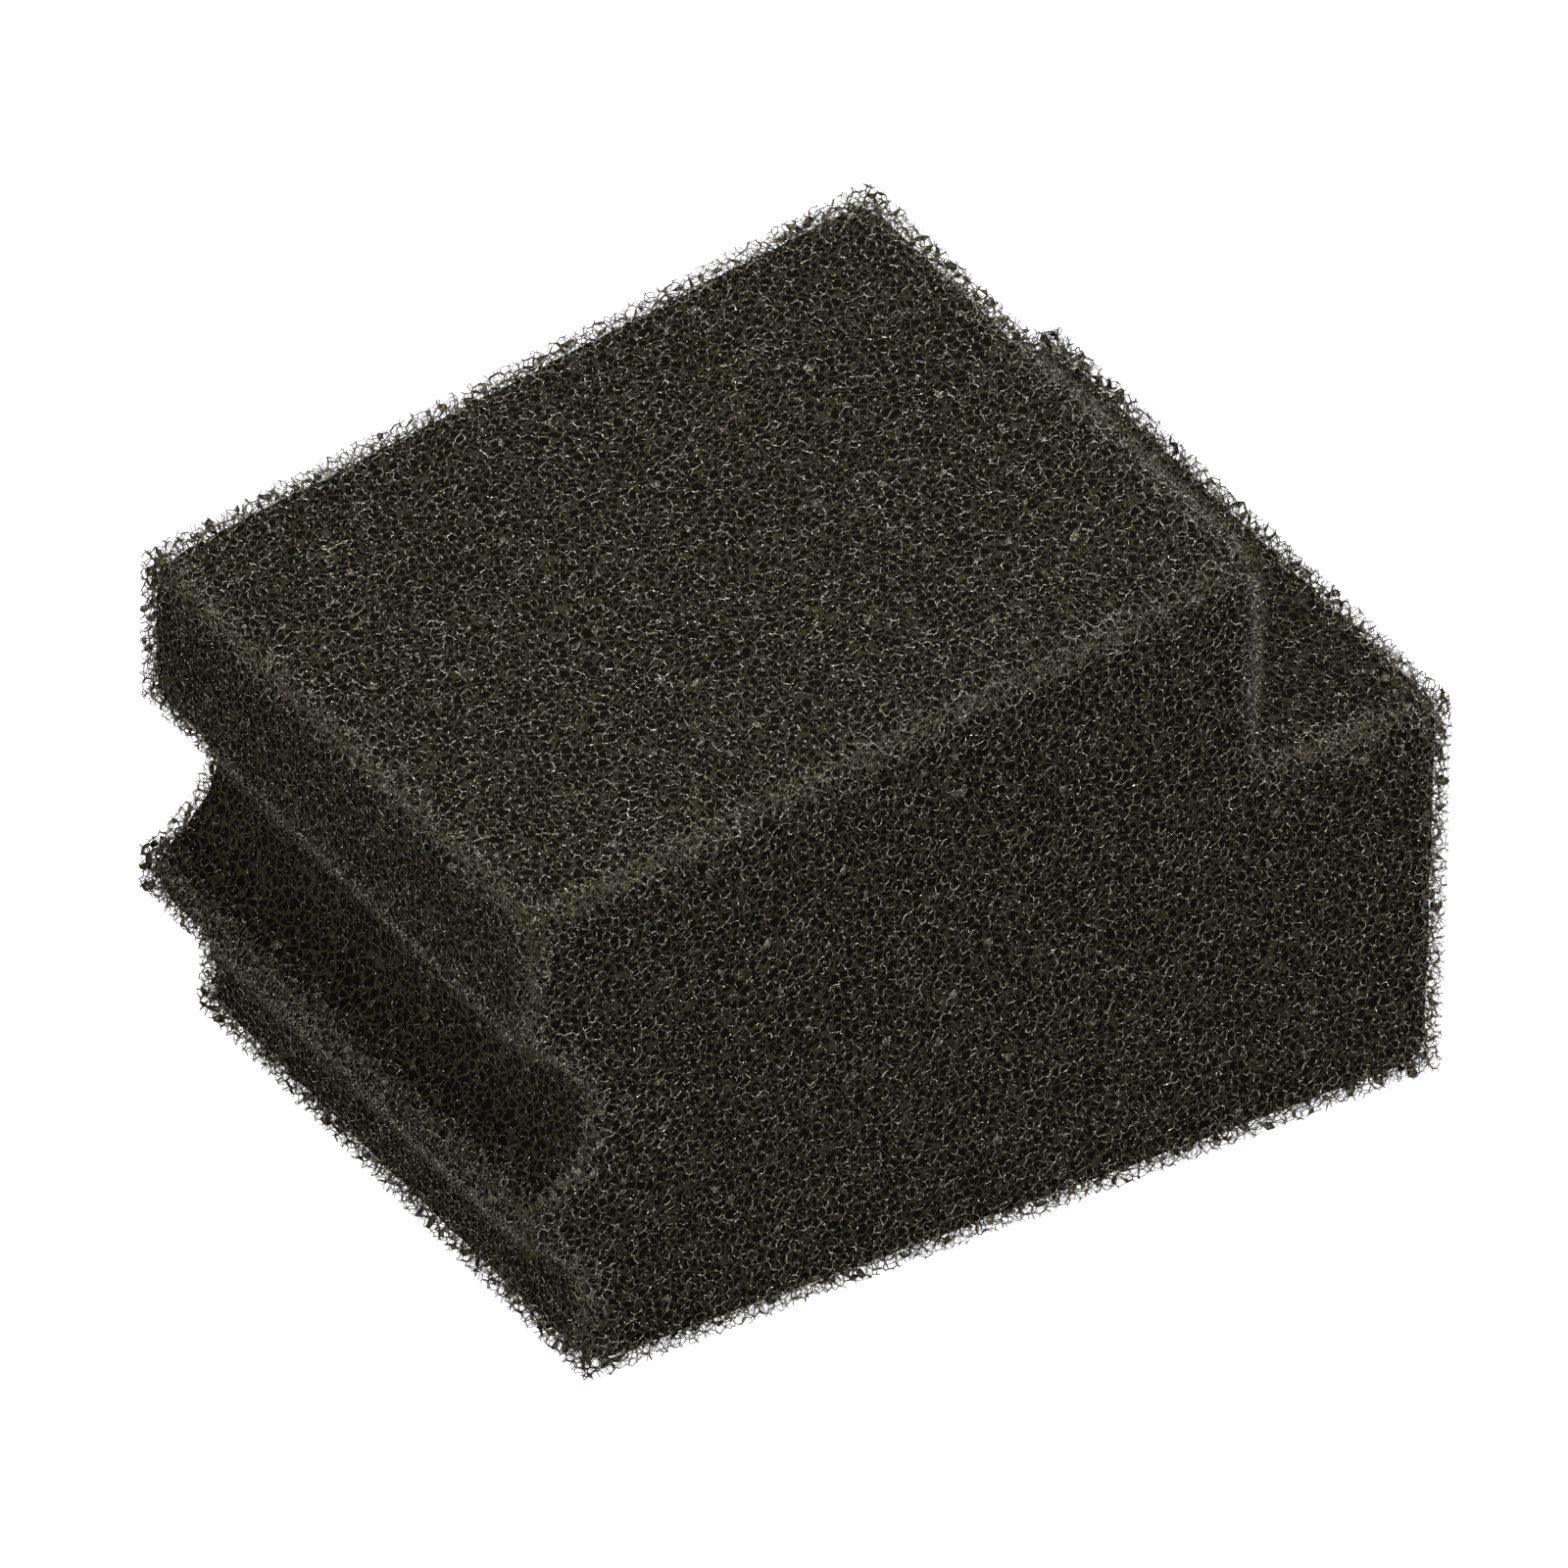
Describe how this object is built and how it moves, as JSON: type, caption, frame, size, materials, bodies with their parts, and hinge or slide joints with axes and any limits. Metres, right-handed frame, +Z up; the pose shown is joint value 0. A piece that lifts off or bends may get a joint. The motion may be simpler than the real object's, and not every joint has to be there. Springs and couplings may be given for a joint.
{
  "type": "sponge filter",
  "caption": "Block of black open-cell filter foam with a sloping top, a stepped ledge, a round side channel and a coved foot.",
  "frame": {"origin": "centre of the block's bounding box, on the plane that it stands on", "axes": "+X along the block's length from the channelled low end to the ledge end, +Y through the depth along the wire cut, +Z up"},
  "size_m": [0.115, 0.078, 0.077],
  "materials": {
    "foam": "matt open-cell foam"
  },
  "bodies": {
    "root": {"foam_block": "foam"}
  },
  "joints": []
}
